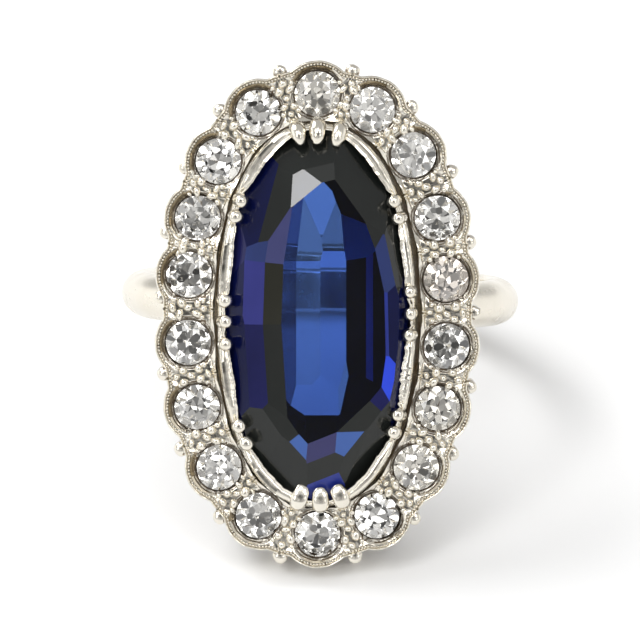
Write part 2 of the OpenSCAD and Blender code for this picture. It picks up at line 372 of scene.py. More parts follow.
mat_diamond = diamond_mat("diamond_clear", (0.96, 0.935, 0.87), 260.0)
mat_diamond_warm = diamond_mat("diamond_warm", (0.90, 0.865, 0.78), 400.0)
mat_diamond_brown = diamond_mat("diamond_brown", (0.80, 0.75, 0.69), 650.0)
# a few of the old stones are tinted
TINTED = {0: mat_diamond_warm, 4: mat_diamond_brown, 6: mat_diamond_warm, 7: mat_diamond_warm}


def clear_facet(name, tint):
    """Sapphire at a facet, which colours the light that it lets through."""
    mat, tree, shader = new_mat("sapphire_" + name)
    # the shader takes the root of its base colour for each pass through a surface
    shader.inputs["Base Color"].default_value = (tint[0] ** 2, tint[1] ** 2, tint[2] ** 2, 1)
    shader.inputs["Transmission Weight"].default_value = 1.0
    shader.inputs["IOR"].default_value = 1.77
    shader.inputs["Roughness"].default_value = 0.0
    bump(tree, shader, noise_on(tree, 500.0, 3.0), 0.05, 0.00001)
    return mat


def painted_light_facet(name, low, high, rough, ior):
    """Sapphire with painted light and shade in its opaque colour, between low and high."""
    mat, tree, shader = new_mat("sapphire_" + name)
    mix_colour(tree, shader, noise_on(tree, 260.0, 4.0), low, high)
    shader.inputs["Roughness"].default_value = rough
    shader.inputs["IOR"].default_value = ior
    return mat


# The table and the underside let light through, each facet in its own tint: lighter and darker copies of
# one sapphire that paint light and shade on the facets
CLEAR = {
    "table": (0.35, 0.5, 0.8),
    "star": (0.07, 0.07, 0.09),
    "window": (0.128, 0.225, 0.58),
    "window_left": (0.10, 0.18, 0.46),
    "pale": (0.165, 0.27, 0.56),
    "shade": (0.11, 0.17, 0.31),
    "dusk": (0.05, 0.085, 0.24)}

# Opaque facets whose colour is painted light and shade: a painted dark backing and painted blue light on
# parts of the underside, and painted reflections and shade on the crown round the table, each facet in its
# own shade. The dimmest ones mirror less.
PAINTED_ROUGH, POLISH = 0.35, 0.03
GLOSSY, DIM = 1.4, 1.28
PAINTED_LIGHT = {
    "back": ((0.01, 0.008, 0.02), (0.03, 0.02, 0.05), PAINTED_ROUGH, GLOSSY),
    "film_navy": ((0.08, 0.18, 0.6), (0.13, 0.28, 0.95), PAINTED_ROUGH, GLOSSY),
    "film_royal": ((0.12, 0.14, 0.6), (0.18, 0.22, 0.95), PAINTED_ROUGH, GLOSSY),
    "dark": ((0.005, 0.006, 0.006), (0.018, 0.020, 0.018), POLISH, GLOSSY),
    "olive": ((0.013, 0.013, 0.009), (0.026, 0.026, 0.020), POLISH, GLOSSY),
    "plum": ((0.020, 0.019, 0.06), (0.034, 0.034, 0.14), POLISH, GLOSSY),
    "navy": ((0.001, 0.002, 0.018), (0.005, 0.008, 0.065), POLISH, DIM),
    "slate": ((0.012, 0.022, 0.08), (0.024, 0.040, 0.16), POLISH, GLOSSY),
    "mauve": ((0.030, 0.033, 0.10), (0.056, 0.060, 0.18), POLISH, GLOSSY),
    "violet": ((0.016, 0.018, 0.11), (0.034, 0.038, 0.22), POLISH, GLOSSY),
    "indigo": ((0.005, 0.006, 0.03), (0.016, 0.017, 0.10), POLISH, DIM),
    "royal": ((0.010, 0.016, 0.13), (0.020, 0.040, 0.30), POLISH, GLOSSY),
    "sky": ((0.024, 0.070, 0.24), (0.050, 0.115, 0.38), POLISH, GLOSSY),
    "bright": ((0.012, 0.030, 0.40), (0.030, 0.080, 0.80), POLISH, GLOSSY)}
SAPPHIRE_MATS = {kind: clear_facet(kind, tint) for kind, tint in CLEAR.items()}
SAPPHIRE_MATS.update({kind: painted_light_facet(kind, *look) for kind, look in PAINTED_LIGHT.items()})

for name, o in frame["nodes"].items():
    o.data.materials.clear()
    if name == "sapphire":
        o.data.materials.append(SAPPHIRE_MATS["window"])
    elif name.startswith("diamond"):
        o.data.materials.append(mat_diamond)
    else:
        o.data.materials.append(mat_metal)


# Cluster frame. Each stone has a cell: from its scallop of the rim, down both sides through the
# notches, to the inner edge. Widths are in mm out from the line through the stones.
SCALLOP_R, SCALLOP_IN = 1.83, 0.19
NOTCH_OUT, INNER = 1.24, -1.30
SEAT_R = 1.13
UNDERCUT = 0.24
DENSE = 5400
N_OUT, N_SIDE, N_IN = 60, 20, 30
scallop_c = stone_xy - stone_n * SCALLOP_IN


def contour_offset(share):
    """How far the rim stands out from the line through the stones."""
    p, n = ring_line.at(share)
    p, n = p.reshape(-1, 2), n.reshape(-1, 2)
    best = np.full(len(p), NOTCH_OUT - 0.02)
    for c in scallop_c:
        d = p - c
        dn = (d * n).sum(1)
        disc = SCALLOP_R ** 2 - (d ** 2).sum(1) + dn ** 2
        v = np.where(disc > 0, -dn + np.sqrt(np.maximum(disc, 0)), -9)
        # a soft greatest value rounds the corner between scallop and notch
        soft = 0.03
        hi, lo = np.maximum(best, v), np.minimum(best, v)
        best = hi + soft * np.exp(-(hi - lo) / soft) * 0.5
    return best


def outer_point(share):
    """The rim, which waves a little from hand work."""
    p, n = ring_line.at(share)
    turn = np.atleast_1d(share) * 2 * math.pi
    off = contour_offset(share) + 0.012 * np.sin(turn * 61) * np.sin(turn * 23 + 1)
    return p.reshape(-1, 2) + n.reshape(-1, 2) * off[:, None]


dense = np.linspace(0, 1, DENSE + 1)[:-1]
outer_dense = outer_point(dense)
line_xy, line_n = ring_line.at(dense)
inner_dense = line_xy + line_n * INNER


def nearest(points, curve):
    """How far each point is from a curve, in batches that keep the memory small."""
    out = np.empty(len(points))
    for i in range(0, len(points), 512):
        q = points[i:i + 512]
        out[i:i + 512] = np.sqrt(((q[:, None] - curve[None]) ** 2).sum(-1).min(1))
    return out


# The top's height over the distance in from the rim, and over the distance out from the inner
# edge, where the inner wire is
RIM_WIDTH, SEAT_Z = 0.25, 12.62
RIM = np.array([
    [0, 12.78], [0.008, 12.88], [0.03, 12.97], [0.06, 13.0], [0.095, 12.975], [0.12, 12.86],
    [0.14, 12.745], [0.235, 12.745], [0.25, 12.86], [9, 12.86]])
LIP = np.array([
    [0, 12.74], [0.02, 12.92], [0.06, 13.03], [0.11, 13.07], [0.16, 13.04], [0.2, 12.93],
    [0.225, 12.79], [0.27, 12.78], [9, 12.73]])


def frame_height(p, i):
    """The height of the frame's top at points p of a stone's cell."""
    q = p - stone_xy[i]
    d = np.hypot(*q.T)
    # only the stretch of each curve that lies near the stone
    near = (np.arange(-400, 401) + int(stone_u[i] * DENSE)) % DENSE
    from_rim = nearest(p, outer_dense[near])
    from_inner = nearest(p, inner_dense[near])
    # the bright-cut bevel stays under the rim, and the ground between two stones lies lower
    out = q @ stone_n[i] / np.maximum(d, 1e-9)
    ground = 12.70 + 0.155 * step(out, 0.25, 0.6)
    rim = np.where(from_rim < RIM_WIDTH, np.interp(from_rim, RIM[:, 0], RIM[:, 1]), ground)
    # fine lines run along the inner wire on the near right
    x, y = ring_line.at(stone_u[i])[0]
    lines = 0.035 * np.cos(from_inner * 2 * math.pi / 0.085)
    lines = lines * step(from_inner, 0.22, 0.25) * (1 - step(from_inner, 0.5, 0.56))
    rim = rim + lines * (x > 2) * (y < 3)
    top = np.maximum(rim, np.interp(from_inner, LIP[:, 0], LIP[:, 1]))
    cone = SEAT_Z + (d - SEAT_R) * 0.85
    spots = [(*spot, 0) for spot in p]
    waves = np.array([0.014 * bump_noise(s, 3.1, 1.7) + 0.009 * bump_noise(s, 9.0, 4.1) for s in spots])
    return np.minimum(top, cone) + waves * np.clip((d - SEAT_R) / 0.1, 0, 1)


def ring_n_at(u):
    return ring_line.at(u)[1]


def cell_loop(i):
    """The edge of a stone's cell at the top, and the same loop drawn in at the underside."""
    u0, u1 = gap_u[i - 1] - (i == 0), gap_u[i]
    us = np.linspace(u0, u1, N_OUT + 1)[:-1]
    sides = []
    for u in (u1, u0):
        p, n = ring_line.at(u)
        w = np.linspace(0, 1, N_SIDE + 1)[:, None]
        sides.append(outer_point(u) * (1 - w) + (p + n * INNER) * w)
    p, n = ring_line.at(np.linspace(u1, u0, N_IN + 1))
    inner = p + n * INNER
    loop = np.concatenate([outer_point(us), sides[0][:-1], inner[:-1], sides[1][::-1][:-1]])
    away = (1 - np.arange(N_SIDE) / N_SIDE)[:, None]
    home = (1 - np.arange(N_SIDE, 0, -1) / N_SIDE)[:, None]
    drawn_in = np.concatenate([
        ring_n_at(us) * UNDERCUT, ring_n_at(u1) * UNDERCUT * away,
        np.zeros((N_IN, 2)), ring_n_at(u0) * UNDERCUT * home])
    return loop, loop - drawn_in


def cell_top(i, loop):
    """The rows of a cell's top, from its edge in to the seat, and the directions out to the edge."""
    # how far in from the edge each row lies, then shares of the rest
    ins = [0, 0.012, 0.03, 0.052, 0.075, 0.095, 0.12, 0.15, 0.175, 0.2, 0.22, 0.25, 0.285, 0.32, 0.36, 0.42]
    rest = (0.25, 0.5, 0.75, 1.0)
    ray = loop - stone_xy[i]
    length = np.hypot(*ray.T)
    ray = ray / length[:, None]
    room = length - SEAT_R - 0.01
    rows = [loop - ray * np.minimum(s, room * s / ins[-1])[:, None] for s in ins]
    last, seat = rows[-1], stone_xy[i] + ray * SEAT_R
    return rows + [last * (1 - w) + seat * w for w in rest], ray


def cell(i):
    """A stone's part of the frame, open at the two sides that it shares with its neighbours."""
    loop, low = cell_loop(i)
    rows, ray = cell_top(i, loop)
    m = len(loop)
    verts, faces = [], []
    for row in rows:
        verts += [(*q, z) for q, z in zip(row, frame_height(row, i))]
    for r in range(len(rows) - 1):
        faces += band(r * m, (r + 1) * m, m)
    # the seat below the stone, then the hole behind it
    hole = (len(rows) - 1) * m
    for rad, z in ((SEAT_R, 12.52), (0.47, 11.55), (0.45, FRAME_Z)):
        start = len(verts)
        verts += [(*q, z) for q in stone_xy[i] + ray * rad]
        faces += band(hole, start, m)
        hole = start
    # the underside, and the walls outside and inside
    under = len(verts)
    verts += [(*q, FRAME_Z) for q in low]
    faces += band(hole, under, m)
    mid = len(verts)
    for z, w in ((12.62, 0.03), (12.1, 0.42)):
        verts += [(*q, z) for q in loop * (1 - w) + low * w]
    levels = (0, mid, mid + m, under)
    walled = [True] * N_OUT + [False] * N_SIDE + [True] * N_IN + [False] * N_SIDE
    for k in range(m):
        j = (k + 1) % m
        if walled[k]:
            faces += [(t + j, t + k, u + k, u + j) for t, u in zip(levels, levels[1:])]
    return verts, faces


def cluster_frame():
    b = Build()
    for i in range(COUNT):
        b.add(*cell(i))
    b.make("cluster_frame", mat_cut, 50, merge=2e-6, dark=painted_shade_kind)


def painted_shade_kind(c):
    """0 for clean metal, 1 for painted shade on the low ground, in the seats and by the collet, 2 for
    painted shade on the crescents beyond the stones.
    """
    i = ((stone_xy - c[:2]) ** 2).sum(1).argmin()
    q = c[:2] - stone_xy[i]
    d = np.hypot(*q)
    # below the top: painted shade in the seat and the hole under each stone
    if c[2] < 12.6:
        return int(d < SEAT_R)
    inner = sum((abs(v) / (a + INNER)) ** POWER for v, a in zip(c, CLUSTER))
    # painted shade on the low ground between the stones, at the seat's edge and in the groove by the collet
    off_bevel = d < SEAT_R + 0.045 or d > SEAT_R + 0.12
    by_collet = inner < 1.02 and c[0] > -2
    if c[2] < 12.76 and (off_bevel or by_collet):
        return 1
    # painted shade on the crescents beyond each stone on the side where the bevel faces away from the main
    # light, broken by noise
    shaded_side = (q[1] * 0.8 - q[0] * 0.6) / d + 0.25 * bump_noise((c[0], c[1], 0), 2.0, 6.0)
    outward = q @ stone_n[i] > 0.45 * d
    if outward and shaded_side > 0.35 and SEAT_R + 0.06 < d < SEAT_R + 0.30:
        return 2
    return 0


cluster_frame()


# Milgrain and grains
MILGRAIN_IN, MILGRAIN_PACE, MILGRAIN_R, MILGRAIN_Z = 0.185, 0.158, 0.076, 12.85
# Grains stay this far from the middle of a stone
STONE_CLEAR = 1.06
GRAINS = [  # outwards, along the rim, radius, height
    (0.36, -0.30, 0.25, 12.80), (0.34, 0.32, 0.24, 12.80), (-0.40, -0.26, 0.24, 12.80),
    (-0.44, 0.24, 0.23, 12.80), (-0.03, 0.02, 0.20, 12.76), (0.72, 0.03, 0.20, 12.80),
    (-0.82, 0.0, 0.17, 12.80), (0.66, -0.46, 0.13, 12.80), (0.66, 0.46, 0.13, 12.80),
    (-0.74, -0.40, 0.14, 12.80), (-0.74, 0.40, 0.14, 12.80)]


def ball_shape(level):
    bm = bmesh.new()
    bmesh.ops.create_icosphere(bm, subdivisions=level, radius=1.0)
    v = [tuple(x.co) for x in bm.verts]
    f = [tuple(x.index for x in p.verts) for p in bm.faces]
    bm.free()
    return v, f


def add_ball(build, shape, c, r, squash, skew):
    """A ball that is squashed in height, and skewed and lumpy by chance."""
    v, f = shape
    a = rng.uniform(0, 6.28)
    ca, sa = math.cos(a), math.sin(a)
    k = 1 + skew * rng.uniform(-1, 1)
    out = []
    for x, y, z in v:
        lump = 1 + skew * 0.6 * noise.noise(Vector((x * 1.3 + a, y * 1.3, z * 1.3 - a)))
        x, y, z = x * k * lump, y / k * lump, z * lump
        out.append((c[0] + r * (x * ca - y * sa), c[1] + r * (x * sa + y * ca), c[2] + r * squash * z))
    build.add(out, f)


def milgrain():
    """A row of tiny balls that follows the rim just inside its polished edge."""
    b = Build()
    shape = ball_shape(1)
    seg = np.diff(outer_dense, axis=0, append=outer_dense[:1])
    inward = np.stack([seg[:, 1], -seg[:, 0]], -1) / np.hypot(*seg.T)[:, None]
    line = outer_dense + inward * MILGRAIN_IN
    line = np.vstack([line, line[:1]])
    run = np.concatenate(([0], np.cumsum(np.hypot(*np.diff(line, axis=0).T))))
    count = int(run[-1] / MILGRAIN_PACE)
    for k in range(count):
        s = run[-1] * k / count
        x, y = np.interp(s, run, line[:, 0]), np.interp(s, run, line[:, 1])
        r = MILGRAIN_R * rng.uniform(0.88, 1.08)
        add_ball(b, shape, (x, y, MILGRAIN_Z + rng.uniform(-0.012, 0.01)), r, 1.35, 0.12)
    b.make("milgrain", mat_metal, 80)


milgrain()


def grains():
    """The clusters of grains between the stones."""
    b = Build()
    shape = ball_shape(2)
    for i in range(COUNT):
        p, n = notch_xy[i], notch_n[i]
        tan = np.array([n[1], -n[0]])
        for out, along, r, z in GRAINS:
            r *= rng.uniform(0.82, 1.12)
            q = p + n * (out + rng.uniform(-0.05, 0.05)) + tan * (along + rng.uniform(-0.05, 0.05))
            for c in (stone_xy[i], stone_xy[(i + 1) % COUNT]):
                d = q - c
                dist = np.hypot(*d)
                if dist - r < STONE_CLEAR:
                    q = c + d / dist * (STONE_CLEAR + r)
            add_ball(b, shape, (q[0], q[1], z + rng.uniform(-0.04, 0.03)), r, rng.uniform(0.75, 1.0), 0.26)
    b.make("grains", mat_metal, 80)


grains()


# Collet and claws
COLLET_TOP, COLLET_LEDGE = 13.5, 12.45
GROUPS = 8
FAR_END, NEAR_END = 0, 4
claw_line = Oval(grow(SAPPHIRE, 0.13))
group_u = [g / GROUPS + drift / claw_line.length for g, drift in enumerate(CLAW_DRIFT)]
claw_shares = []
for g in range(GROUPS):
    pair = g % 2
    num = 3 - pair
    pace = (1.08, 0.86)[pair] / claw_line.length
    claw_shares += [(group_u[g] + (c - (num - 1) / 2) * pace, g) for c in range(num)]


def lobe(share):
    """1 in the middle of a lobe between two groups of claws, 0 at the groups."""
    best = 0.0
    for here, there in zip(group_u, group_u[1:] + [1 + group_u[0]]):
        mid = (here + there) / 2
        d = abs((share - mid + 0.5) % 1.0 - 0.5) * claw_line.length
        best = max(best, 1 - (d / 2.1) ** 2)
    return best ** 0.6


def collet():
    """An oval tube with a ledge for the sapphire, whose lip is pressed over it in low lobes."""
    b = Build()
    steps = 900
    line = Oval(SAPPHIRE)
    rings = []
    for k in range(steps):
        u = k / steps
        p, nv = line.at(u)
        at = (p[0], p[1], 0)
        q = lobe(u)
        wave = 0.06 * bump_noise(at, 1.5, 3.0) + 0.02 * bump_noise(at, 3.5, 9.0)
        # one lobe on the right has a ragged edge
        ragged = 0.02 + 0.08 * step(0.07 - abs(u - 0.315), 0.0, 0.04)
        torn = ragged * (bump_noise(at, 6.0, 5.0) + 0.6 * bump_noise(at, 14.0, 2.0))
        # the outside, the lip that is pressed over the stone, and its inner edge
        out = 0.36 + 0.07 * step(-nv[0], 0.0, 0.8)
        over = -0.24 * q + wave + torn
        lip = over + 0.16 + 0.04 * q
        top = COLLET_TOP + 0.32 * q + 0.5 * wave
        section = [
            (-0.2, PLATE_Z), (out, PLATE_Z), (out, 12.6), (out, 12.95), (out - 0.005, 13.1),
            (out - 0.03, top - 0.26), (out - 0.08, top - 0.12), (out - 0.14, top - 0.05),
            (lip + 0.03, top - 0.03), (lip, top - 0.05), (lip - 0.03, top - 0.05),
            (over + 0.09, top), (over + 0.05, top + 0.012), (over + 0.015, top - 0.02),
            (over, top - 0.085), (over + 0.02, top - 0.15),
            (0.055, 13.36), (0.055, COLLET_LEDGE), (-0.2, COLLET_LEDGE), (-0.2, 11.0)]
        rings.append([(p[0] + nv[0] * v, p[1] + nv[1] * v, z) for v, z in section])
    b.tube(rings, closed=True)
    # the lower outside of the collet on the right, in the groove by the frame, gets painted shade
    b.make("collet", mat_metal, 45, dark=lambda c: 12.4 < c[2] < 12.85 and c[0] > -1.0)


collet()


def spine_of(g, reach):
    """The middle line of a claw: how far out, height and share of its radius."""
    if g == FAR_END:
        # teeth, broad at the root and pointed
        return ((0.12, 12.95, 0.9), (0.13, 13.25, 1.0), (0.1, 13.5, 1.05), (0.0, 13.68, 1.05),
                (-0.16, 13.80, 1.0), (-reach * 0.5, 13.87, 0.95), (-reach * 0.78, 13.88, 0.82),
                (-reach, 13.84, 0.62))
    if g == NEAR_END:
        # flat thumbs
        return ((0.12, 12.95, 0.9), (0.13, 13.25, 0.95), (0.1, 13.5, 1.0), (0.02, 13.74, 1.03),
                (-0.12, 13.82, 1.0), (-reach * 0.55, 13.80, 0.98), (-reach * 0.85, 13.74, 0.94),
                (-reach, 13.69, 0.86))
    # beads on a short neck
    return ((0.04, 12.9, 0.8), (0.04, 13.25, 0.84), (0.02, 13.5, 0.9), (-0.02, 13.7, 0.98),
            (-reach, 13.88, 1.0), (-reach - 0.02, 13.98, 0.98))


def claws():
    """Groups of three and two claws in turn, none quite like another."""
    b = Build()
    for share, g in claw_shares:
        p, n = claw_line.at(share)
        n3, tan = Vector((n[0], n[1], 0)), Vector((n[1], -n[0], 0))
        base = Vector((p[0], p[1], 0))
        lean = rng.uniform(-0.05, 0.05)
        if g == FAR_END:
            r = 0.40 * rng.uniform(0.96, 1.04)
            reach = 0.64 + rng.uniform(-0.06, 0.06)
            flat = 0.5
        elif g == NEAR_END:
            r = 0.41 * rng.uniform(0.96, 1.04)
            reach = 0.56 + rng.uniform(-0.05, 0.06)
            flat = 0.5
        else:
            r = 0.35 * rng.uniform(0.93, 1.06)
            reach = 0.07 + rng.uniform(-0.04, 0.06)
            flat = (0.9, 0.72)[g > NEAR_END]
        spine = spine_of(g, reach)
        path = [base + n3 * out + tan * lean + Vector((0, 0, z)) for out, z, _ in spine]
        radii = [r * w for _, _, w in spine]
        path, radii = round_end(path, radii, flat)
        worn = g == FAR_END or g > NEAR_END
        rings = wire_rings(path, radii, rng.uniform(0, 9), (0.12, 0.2)[worn])
        if g == NEAR_END:
            # the thumbs are filed flat on top
            for q, ring in zip(path, rings):
                for v in ring:
                    over = v.z - q[2] - 0.2
                    v.z -= 0.8 * max(over, 0) * (q[2] > 13.6)
        b.tube(rings)
    b.make("claws", mat_metal, 60)


claws()


# Gallery, plate and shank
def gallery():
    """Wires that come out of the plate, bend up and end in a bead at each notch."""
    b = Build()
    start_z, bend_r = PLATE_Z + PLATE_H / 2, 1.25
    bend_z = start_z + bend_r
    line = Oval(WIRES)
    for i, drift in enumerate(WIRE_DRIFT):
        turn = np.interp((i + 0.5) / COUNT + drift / ring_line.length, ring_line.run, ring_line.turn)
        p, n = line.at(np.interp(turn, line.turn, line.run))
        base = Vector((p[0], p[1], 0))
        n3 = Vector((n[0], n[1], 0))
        path = [base - n3 * (bend_r + 0.3) + Vector((0, 0, start_z))]
        for k in range(11):
            w = math.pi / 2 * k / 10
            out, z = bend_r * math.sin(w) - bend_r, bend_z - bend_r * math.cos(w)
            path.append(base + n3 * out + Vector((0, 0, z)))
        path += [base + Vector((0, 0, z)) for z in (12.0, 12.3, 12.42, 12.56)]
        radii = [WIRE_R * 0.93] * (len(path) - 3) + [WIRE_R * w for w in (1.0, 1.09, 1.08)]
        path, radii = round_end(path, radii, rng.uniform(0.45, 0.7))
        b.tube(wire_rings(path, radii, rng.uniform(0, 9), 0.16))
    b.make("gallery_wires", mat_metal, 60)


gallery()


def plate():
    """The oval ring between the ledge of the collet and the gallery wires."""
    b = Build()
    steps = 240
    # the outer edges are rounded in two steps
    r, r3 = 0.16, 0.3 * 0.16
    top = PLATE_Z + PLATE_H
    rings = []
    for k in range(steps):
        turn = 2 * math.pi * k / steps
        a, o = np.array(oval_point(LEDGE, turn)), np.array(oval_point(PLATE, turn))
        w = np.hypot(*(o - a))
        d = (o - a) / w
        section = [(0.02, PLATE_Z), (w - r, PLATE_Z), (w - r3, PLATE_Z + r3), (w, PLATE_Z + r),
                   (w, top - r), (w - r3, top - r3), (w - r, top), (0.02, top)]
        rings.append([(a[0] + d[0] * v, a[1] + d[1] * v, z) for v, z in section])
    b.tube(rings, closed=True)
    b.make("base_plate", mat_metal, 35)


plate()


def askew(x, y):
    """Where y comes to lie, because the real band sits a little askew under its head."""
    return y + 0.2 - 0.022 * x


def shank_section(a, o, side):
    """A D: flat towards the finger at a, domed at o; a and o are (x, z)."""
    thick = math.hypot(*(o - a))
    d = (o - a) / thick
    h = SHANK_W / 2
    edge = thick - DOME_R + math.sqrt(DOME_R ** 2 - h * h)
    flank = [(0.0, -h + 0.22), (0.035, -h + 0.09), (0.11, -h + 0.02), (0.2, -h)]
    flank += [(0.2 + (edge - 0.2) * k / 3, -h) for k in (1, 2)]
    dome = []
    for k in range(23):
        w = math.asin(h / DOME_R) * (k / 11 - 1)
        dome.append((thick - DOME_R + DOME_R * math.cos(w), DOME_R * math.sin(w)))
    out = []
    for v, y in flank + dome + [(v, -y) for v, y in reversed(flank)]:
        x = side * (a[0] + d[0] * v)
        out.append((x, askew(x, y), a[1] + d[1] * v))
    return out


def shank():
    """The band, and at both ends a shoulder that runs straight from it to the plate."""
    b = Build()
    r = FINGER_R + SHANK_T
    top = np.array((PLATE[0] - 0.1, PLATE_Z + 0.3))
    turn = math.atan2(*top) + math.acos(r / math.hypot(*top))
    touch = r * np.array((math.sin(turn), math.cos(turn)))
    shoulder = []
    for k in range(26):
        w = k / 26
        phi = math.radians(30) * (1 - w) + turn * w
        shoulder.append((FINGER_R * np.array((math.sin(phi), math.cos(phi))), top * (1 - w) + touch * w))
    body = []
    steps = 160
    for k in range(steps + 1):
        phi = turn + (2 * math.pi - 2 * turn) * k / steps
        # hand work, which fades out at the shoulders
        wave = 0.008 * math.sin(phi * 5.3) + 0.006 * math.sin(phi * 11.7 + 1)
        c = np.array((math.sin(phi), math.cos(phi)))
        body.append((FINGER_R * c, (r + wave * min(k, steps - k) / steps) * c))
    rings = [shank_section(a, o, 1) for a, o in shoulder + body]
    rings += [shank_section(a, o, -1) for a, o in reversed(shoulder)]
    b.tube(rings)
    b.make("shank", mat_shank, 38)


shank()


def shoulder_ends():
    """Closes the corner between the end of each shoulder and the plate."""
    b = Build()
    edge = LEDGE[0] + 0.01
    corners = ((edge, 7.44), (edge, PLATE_Z + 0.1), (5.9, PLATE_Z + 0.1), (edge + 0.2, 7.4))
    for side in (-1, 1):
        ends = [askew(side * edge, y) for y in (-1.06, 1.06)]
        b.tube([[(side * x, y, z) for x, z in corners] for y in ends])
    b.make("shoulder_ends", mat_shank, 20, merge=1e-7)


shoulder_ends()


# Cut stones
def cut_stone(name, node, planes, mats, half, centre, turn):
    """Cuts a block, given by half its sides and its centre, by planes.

    A plane is a point, an outward normal and the number of its material.
    """
    bm = bmesh.new()
    bmesh.ops.create_cube(bm, size=2.0)
    for v in bm.verts:
        v.co = Vector((v.co.x * half[0], v.co.y * half[1], v.co.z * half[2])) + Vector(centre)
    for co, no, _ in planes:
        geom = bm.verts[:] + bm.edges[:] + bm.faces[:]
        res = bmesh.ops.bisect_plane(bm, geom=geom, dist=1e-5, plane_co=co, plane_no=no, clear_outer=True)
        cut = [g for g in res["geom_cut"] if isinstance(g, bmesh.types.BMEdge)]
        if len(cut) > 2:
            bmesh.ops.contextual_create(bm, geom=cut)
    bmesh.ops.recalc_face_normals(bm, faces=bm.faces)
    for f in bm.faces:
        mid = f.calc_center_median()
        # the plane that the face lies in
        own = min(planes, key=lambda q: abs((mid - q[0]).dot(q[1])) + 5 * (1 - f.normal.dot(q[1])))
        f.material_index = own[2]
    bm.transform(SET_DOWN @ turn)
    me = bpy.data.meshes.new(name)
    bm.to_mesh(me)
    bm.free()
    for m in mats:
        me.materials.append(m)
    o = bpy.data.objects.new(name, me)
    bpy.context.scene.collection.objects.link(o)
    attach(o, "root")
    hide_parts(node)


def leaning(azimuth, tilt, at):
    """A plane through a point, whose normal leans from +z by tilt towards azimuth."""
    s = math.sin(tilt)
    return Vector(at), Vector((s * math.cos(azimuth), s * math.sin(azimuth), math.cos(tilt))), 0


def brilliant(i):
    """An old round brilliant, no two alike, that leans a little in its seat."""
    r = DIAMOND_R
    girdle = 0.03
    table = r * rng.uniform(0.54, 0.62)
    crown = math.radians(rng.uniform(32.5, 36))
    pavilion = math.radians(rng.uniform(39.5, 43))
    high = girdle + (r - table) * math.tan(crown)
    between = math.radians(22.5)
    planes = [(Vector((0, 0, high)), Vector((0, 0, 1)), 0)]
    for k in range(8):
        a = math.radians(45 * k)
        wobble = math.radians(rng.uniform(-0.8, 0.8))
        x, y = r * math.cos(a), r * math.sin(a)
        planes.append(leaning(a, crown, (x, y, girdle)))
        planes.append(leaning(a, math.pi - pavilion - wobble, (x, y, -girdle)))
        s = a + between
        edge = table * math.cos(between)
        planes.append(leaning(s, math.radians(20) + wobble, (edge * math.cos(s), edge * math.sin(s), high)))
        for w in (a + between / 2, a - between / 2):
            x, y = r * math.cos(w), r * math.sin(w)
            planes.append(leaning(w, crown + math.radians(6.5), (x, y, girdle)))
            planes.append(leaning(w, math.pi - pavilion - math.radians(1.4), (x, y, -girdle)))
    for k in range(32):
        w = math.radians(11.25 * k + 5.6)
        x, y = math.cos(w), math.sin(w)
        planes.append((Vector((r * x, r * y, 0)), Vector((x, y, 0)), 0))
    x, y = stone_xy[i]
    hinge = Vector((math.cos(i * 2.1), math.sin(i * 2.1), 0))
    lean = Matrix.Rotation(math.radians(rng.uniform(4, 9)), 4, hinge)
    turn = Matrix.Translation((x, y, DIAMOND_Z)) @ lean @ Matrix.Rotation(rng.uniform(0, 0.785), 4, "Z")
    number = "%02d" % (i + 1)
    cut_stone("brilliant_" + number, "diamond_" + number, planes,
              [TINTED.get(i, mat_diamond)], (1.3, 1.3, 1.3), (0, 0, 0), turn)


for i in range(COUNT):
    brilliant(i)


# The crown of the sapphire, clockwise: a corner of the table, then the facets beyond the edge
# that starts there, each with its slope in degrees, width and material, and where the
# outermost one meets the girdle, with its material
# the materials paint the stone's reflections and its inner light and shade on each facet
CROWN = [
    ((0.22, 6.5), [(22, 0.8, "dark")], (0.75, 8.86, "dark")),
    ((1.5, 6.8), [(22, 0.8, "dark")], (3.05, 7.0, "dark")),
    ((2.8, 3.3), [(25, 0.6, "slate")], (4.2, 3.35, "dark")),
    ((3.25, 1.2), [(24, 0.16, "royal"), (28, 0.6, "navy")], (4.45, 0, "navy")),
    ((3.33, -1.9), [(24, 0.75, "bright")], (4.25, -2.9, "navy")),
    ((3.12, -3.4), [(16, 0.75, "indigo")], (3.6, -5.9, "dark")),
    ((2.56, -4.07), [(16, 0.9, "dark")], (2.9, -7.2, "dark")),
    ((0.95, -5.6), [(16, 0.9, "plum"), (22, 1.0, "dark")], (0.4, -8.97, "royal")),
    ((-0.46, -6.16), [(19, 0.6, "sky")], (-2.1, -8.1, "dark")),
    ((-0.88, -5.70), [(19, 0.75, "dark")], (-3.0, -7.0, "dark")),
    ((-1.44, -4.9), [(8, 0.9, "dark"), (25, 0.9, "indigo")], (-4.3, -2.8, "navy")),
    ((-1.73, -0.37), [(8, 0.9, "olive"), (25, 1.0, "violet")], (-4.44, 0.8, "navy")),
    ((-1.63, 2.55), [(8, 0.9, "mauve"), (25, 1.0, "slate")], (-3.95, 4.6, "indigo"))]
TABLE_END = (-1.2, 5.33)
TABLE_Z = CROWN_Z + CROWN_H

